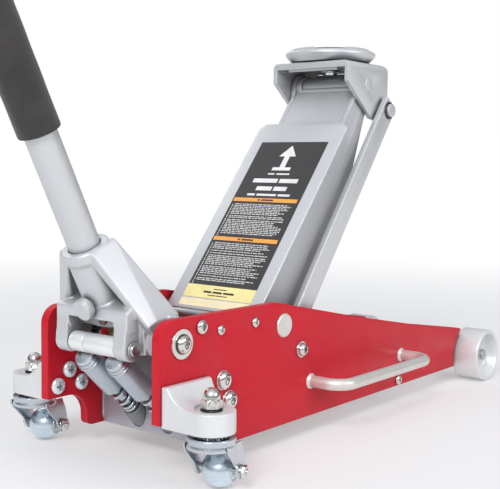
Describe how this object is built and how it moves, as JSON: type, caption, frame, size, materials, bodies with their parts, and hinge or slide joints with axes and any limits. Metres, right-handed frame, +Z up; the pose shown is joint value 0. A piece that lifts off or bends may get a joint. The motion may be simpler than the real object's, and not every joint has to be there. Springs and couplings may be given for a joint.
{
  "type": "floor jack",
  "caption": "Hydraulic trolley jack with a parallelogram lift arm and round saddle, a twin-piston pump worked by a long handle, front wheels and rear ball casters.",
  "frame": {"origin": "on the floor, under the middle of the overall box", "axes": "+X forward to the front wheels, +Y left, +Z up"},
  "size_m": [1.1972, 0.3235, 1.1405],
  "materials": {
    "red_paint": "satin bright red powder coat",
    "grey_paint": "satin light silver-grey paint",
    "cast_aluminium": "satin bead-blasted cast aluminium",
    "zinc": "bright zinc plate",
    "chrome": "polished chrome plate",
    "dark_cast": "dark grey painted casting",
    "steel": "ground oiled steel",
    "brass": "dull olive-gold passivated brass",
    "foam": "matt charcoal closed-cell foam",
    "grip_rubber": "matt black ribbed rubber",
    "decal": "printed dark decal with amber bands and a pale yellow strip"
  },
  "bodies": {
    "chassis": {"side_plate_left": "red_paint", "side_plate_right": "red_paint", "rear_cross_plate": "cast_aluminium", "front_tie_plate": "cast_aluminium", "front_axle": "steel", "front_axle_tube": "steel", "axle_nuts": "zinc", "main_shaft": "steel", "pivot_spacers": "zinc", "handle_pivot_bolts": "chrome", "handle_stop_rod": "chrome", "frame_screws": "zinc", "power_unit_bolts": "chrome", "link_anchor_bolts": "zinc", "carry_handle_left": "chrome", "carry_handle_right": "chrome", "caster_bracket_left": "cast_aluminium", "caster_bracket_right": "cast_aluminium", "bracket_screws": "chrome", "caster_stem_left": "chrome", "caster_stem_right": "chrome", "pump_block": "dark_cast", "cylinder_tube": "steel", "cylinder_gland": "steel", "upper_tie_rod": "steel", "pump_springs": "zinc", "return_springs": "steel"},
    "caster_left": {"caster_fork_left": "zinc", "caster_axle_left": "zinc"},
    "caster_right": {"caster_fork_right": "zinc", "caster_axle_right": "zinc"},
    "ball_left": {"caster_ball_left": "zinc"},
    "ball_right": {"caster_ball_right": "zinc"},
    "wheel_left": {"front_wheel_left": "grey_paint"},
    "wheel_right": {"front_wheel_right": "grey_paint"},
    "arm": {"lift_arm": "grey_paint", "arm_cover_plate": "grey_paint", "label_panel": "decal", "ram_roller_pin": "steel", "ram_roller": "steel"},
    "bracket": {"saddle_bracket": "grey_paint", "bracket_pin": "grey_paint", "link_pins": "zinc"},
    "saddle_head": {"saddle": "grey_paint", "saddle_bolt": "zinc"},
    "links": {"radius_link_left": "grey_paint", "radius_link_right": "grey_paint"},
    "ram_rod": {"ram": "steel"},
    "socket": {"handle_socket": "grey_paint", "pump_roller_pin": "steel", "handle_lock_bolt": "zinc"},
    "rollers": {"pump_rollers": "zinc"},
    "handle": {"handle_lower_tube": "grey_paint", "handle_upper_tube": "grey_paint", "foam_bumper": "foam", "hand_grip": "grip_rubber", "valve_coupling_cup": "brass"},
    "valve": {"release_valve_stem": "steel"},
    "pistons": {"pump_plungers": "zinc", "pump_sleeves": "grey_paint"}
  },
  "joints": [
    {"name": "lift", "type": "hinge", "parent": "chassis", "child": "arm", "pos_m": [0.08864, 0, 0.138], "axis": [0, -1, 0], "range_deg": [-65, 0]},
    {"name": "bracket_level", "type": "hinge", "parent": "arm", "child": "bracket", "pos_m": [0.30729, 0, 0.42399], "axis": [0, -1, 0], "range_deg": [-0.5, 65.5]},
    {"name": "link_swing", "type": "hinge", "parent": "chassis", "child": "links", "pos_m": [0.12164, 0, 0.106], "axis": [0, -1, 0], "range_deg": [-65.5, 0.5]},
    {"name": "saddle_spin", "type": "hinge", "parent": "bracket", "child": "saddle_head", "pos_m": [0.30429, 0, 0.45399], "axis": [0, 0, 1], "continuous": true},
    {"name": "ram_slide", "type": "slide", "parent": "chassis", "child": "ram_rod", "axis": [1, 0, 0], "range_m": [-0.052, 0.0005], "deforming": ["return_springs"]},
    {"name": "pump", "type": "hinge", "parent": "chassis", "child": "socket", "pos_m": [-0.08336, 0, 0.1405], "axis": [0, -1, 0], "range_deg": [0, 42], "stiffness_Nm_per_rad": 16, "springref_deg": -42.97},
    {"name": "roller_spin", "type": "hinge", "parent": "socket", "child": "rollers", "pos_m": [-0.11436, 0, 0.134], "axis": [0, 1, 0], "continuous": true},
    {"name": "handle_twist", "type": "hinge", "parent": "socket", "child": "handle", "pos_m": [-0.08336, 0, 0.1405], "axis": [-0.4493, 0, 0.8934], "range_deg": [0, 180]},
    {"name": "valve_turn", "type": "hinge", "parent": "chassis", "child": "valve", "pos_m": [-0.08336, 0, 0.1405], "axis": [-0.891, 0, 0.454], "range_deg": [-1, 181]},
    {"name": "pump_stroke", "type": "slide", "parent": "chassis", "child": "pistons", "axis": [0.7193, 0, -0.6947], "range_m": [-0.0005, 0.0227], "deforming": ["pump_springs"]},
    {"name": "swivel_left", "type": "hinge", "parent": "chassis", "child": "caster_left", "pos_m": [-0.08786, 0.1315, 0.05], "axis": [0, 0, 1], "continuous": true},
    {"name": "swivel_right", "type": "hinge", "parent": "chassis", "child": "caster_right", "pos_m": [-0.08786, -0.1315, 0.05], "axis": [0, 0, 1], "continuous": true},
    {"name": "roll_left", "type": "hinge", "parent": "caster_left", "child": "ball_left", "pos_m": [-0.06768, 0.13729, 0.0185], "axis": [-0.2756, 0.9613, 0], "continuous": true},
    {"name": "roll_right", "type": "hinge", "parent": "caster_right", "child": "ball_right", "pos_m": [-0.06768, -0.12571, 0.0185], "axis": [-0.2756, 0.9613, 0], "continuous": true},
    {"name": "front_roll_left", "type": "hinge", "parent": "chassis", "child": "wheel_left", "pos_m": [0.56064, 0.101, 0.038], "axis": [0, 1, 0], "continuous": true},
    {"name": "front_roll_right", "type": "hinge", "parent": "chassis", "child": "wheel_right", "pos_m": [0.56064, -0.101, 0.038], "axis": [0, 1, 0], "continuous": true}
  ],
  "couplings": [
    {"joint": "bracket_level", "follows": "lift", "ratio": -1},
    {"joint": "link_swing", "follows": "lift", "ratio": 1},
    {"joint": "ram_slide", "follows": "lift", "m_per_rad": 0.04538},
    {"joint": "valve_turn", "follows": "handle_twist", "ratio": 1},
    {"joint": "pump_stroke", "follows": "pump", "m_per_rad": 0.0302}
  ]
}
